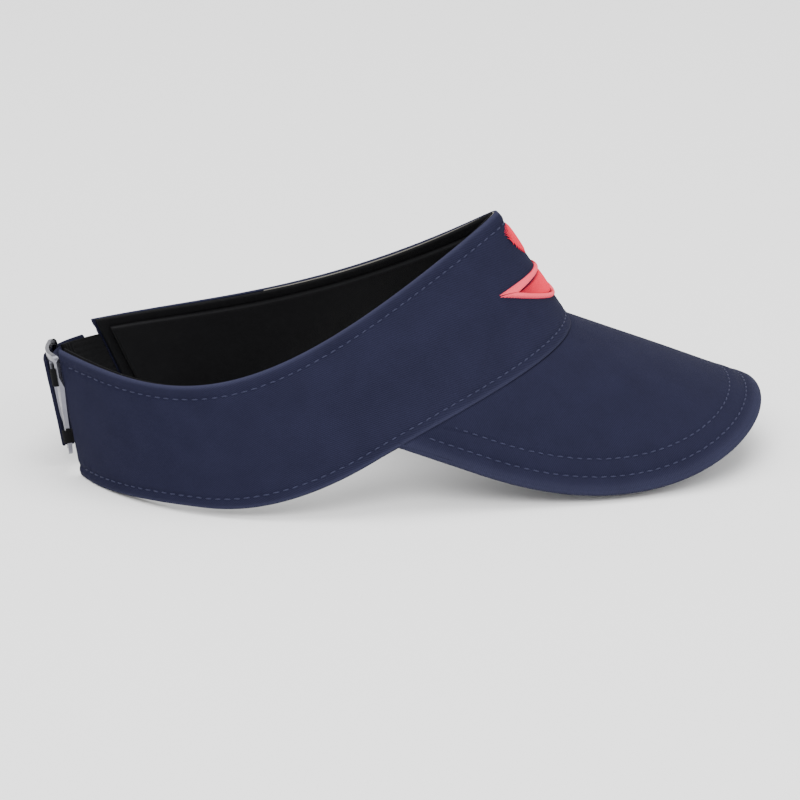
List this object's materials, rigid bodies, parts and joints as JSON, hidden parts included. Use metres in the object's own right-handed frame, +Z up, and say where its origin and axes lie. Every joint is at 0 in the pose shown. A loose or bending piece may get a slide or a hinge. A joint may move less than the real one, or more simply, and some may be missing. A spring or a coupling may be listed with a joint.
{
  "type": "sun visor",
  "caption": "Open-crowned sun visor: shaped twill headband, curved stitched bill, embroidered motif, elastic and buckle closure with a hook-and-loop tab.",
  "frame": {"origin": "middle of the footprint, on the surface the visor lies on", "axes": "+X forward along the bill, +Y to the wearer's left, +Z up"},
  "size_m": [0.2611, 0.149, 0.0888],
  "materials": {
    "navy_twill": "matt cotton twill",
    "black_cloth": "matt woven",
    "buckram": "stiff open weave",
    "foam": "soft foam",
    "navy_thread": "polyester thread",
    "board": "smooth sheet",
    "coral_thread": "satin stitch",
    "pale_coral_thread": "satin stitch",
    "bright_metal": "polished",
    "hook_tape": "fine hooks",
    "loop_tape": "napped loops",
    "black_elastic": "ribbed",
    "black_tape": "plain weave"
  },
  "bodies": {
    "visor": {"band_shell": "navy_twill", "band_interlining": "buckram", "band_lining": "black_cloth", "sweatband_pad": "foam", "sweatband_cover": "black_cloth", "band_top_stitching": "navy_thread", "band_bottom_stitching": "navy_thread", "bill_outer_stitching": "navy_thread", "bill_inner_stitching": "navy_thread", "bill_board": "board", "bill_top_cover": "navy_twill", "bill_bottom_cover": "navy_twill", "emblem_sun": "coral_thread", "emblem_wave": "coral_thread", "emblem_border": "pale_coral_thread", "strap_inner_run": "navy_twill", "loop_patch": "loop_tape", "elastic_webbing": "black_elastic", "strap_join": "navy_twill", "keeper_upper": "black_tape", "keeper_lower": "black_tape"},
    "buckle": {"buckle_plate": "bright_metal", "strap_fold": "navy_twill"},
    "tab": {"strap_tab": "navy_twill", "hook_patch": "hook_tape"}
  },
  "joints": [
    {"name": "buckle_lift", "type": "hinge", "parent": "visor", "child": "buckle", "pos_m": [-0.12322, -0.01633, 0.02333], "axis": [-0.1091, -0.0164, 0.9939], "range_deg": [0, 4]},
    {"name": "tab_peel", "type": "hinge", "parent": "buckle", "child": "tab", "pos_m": [-0.12704, -0.01046, 0.02304], "axis": [-0.1807, 0.0651, 0.9814], "range_deg": [0, 150]}
  ]
}
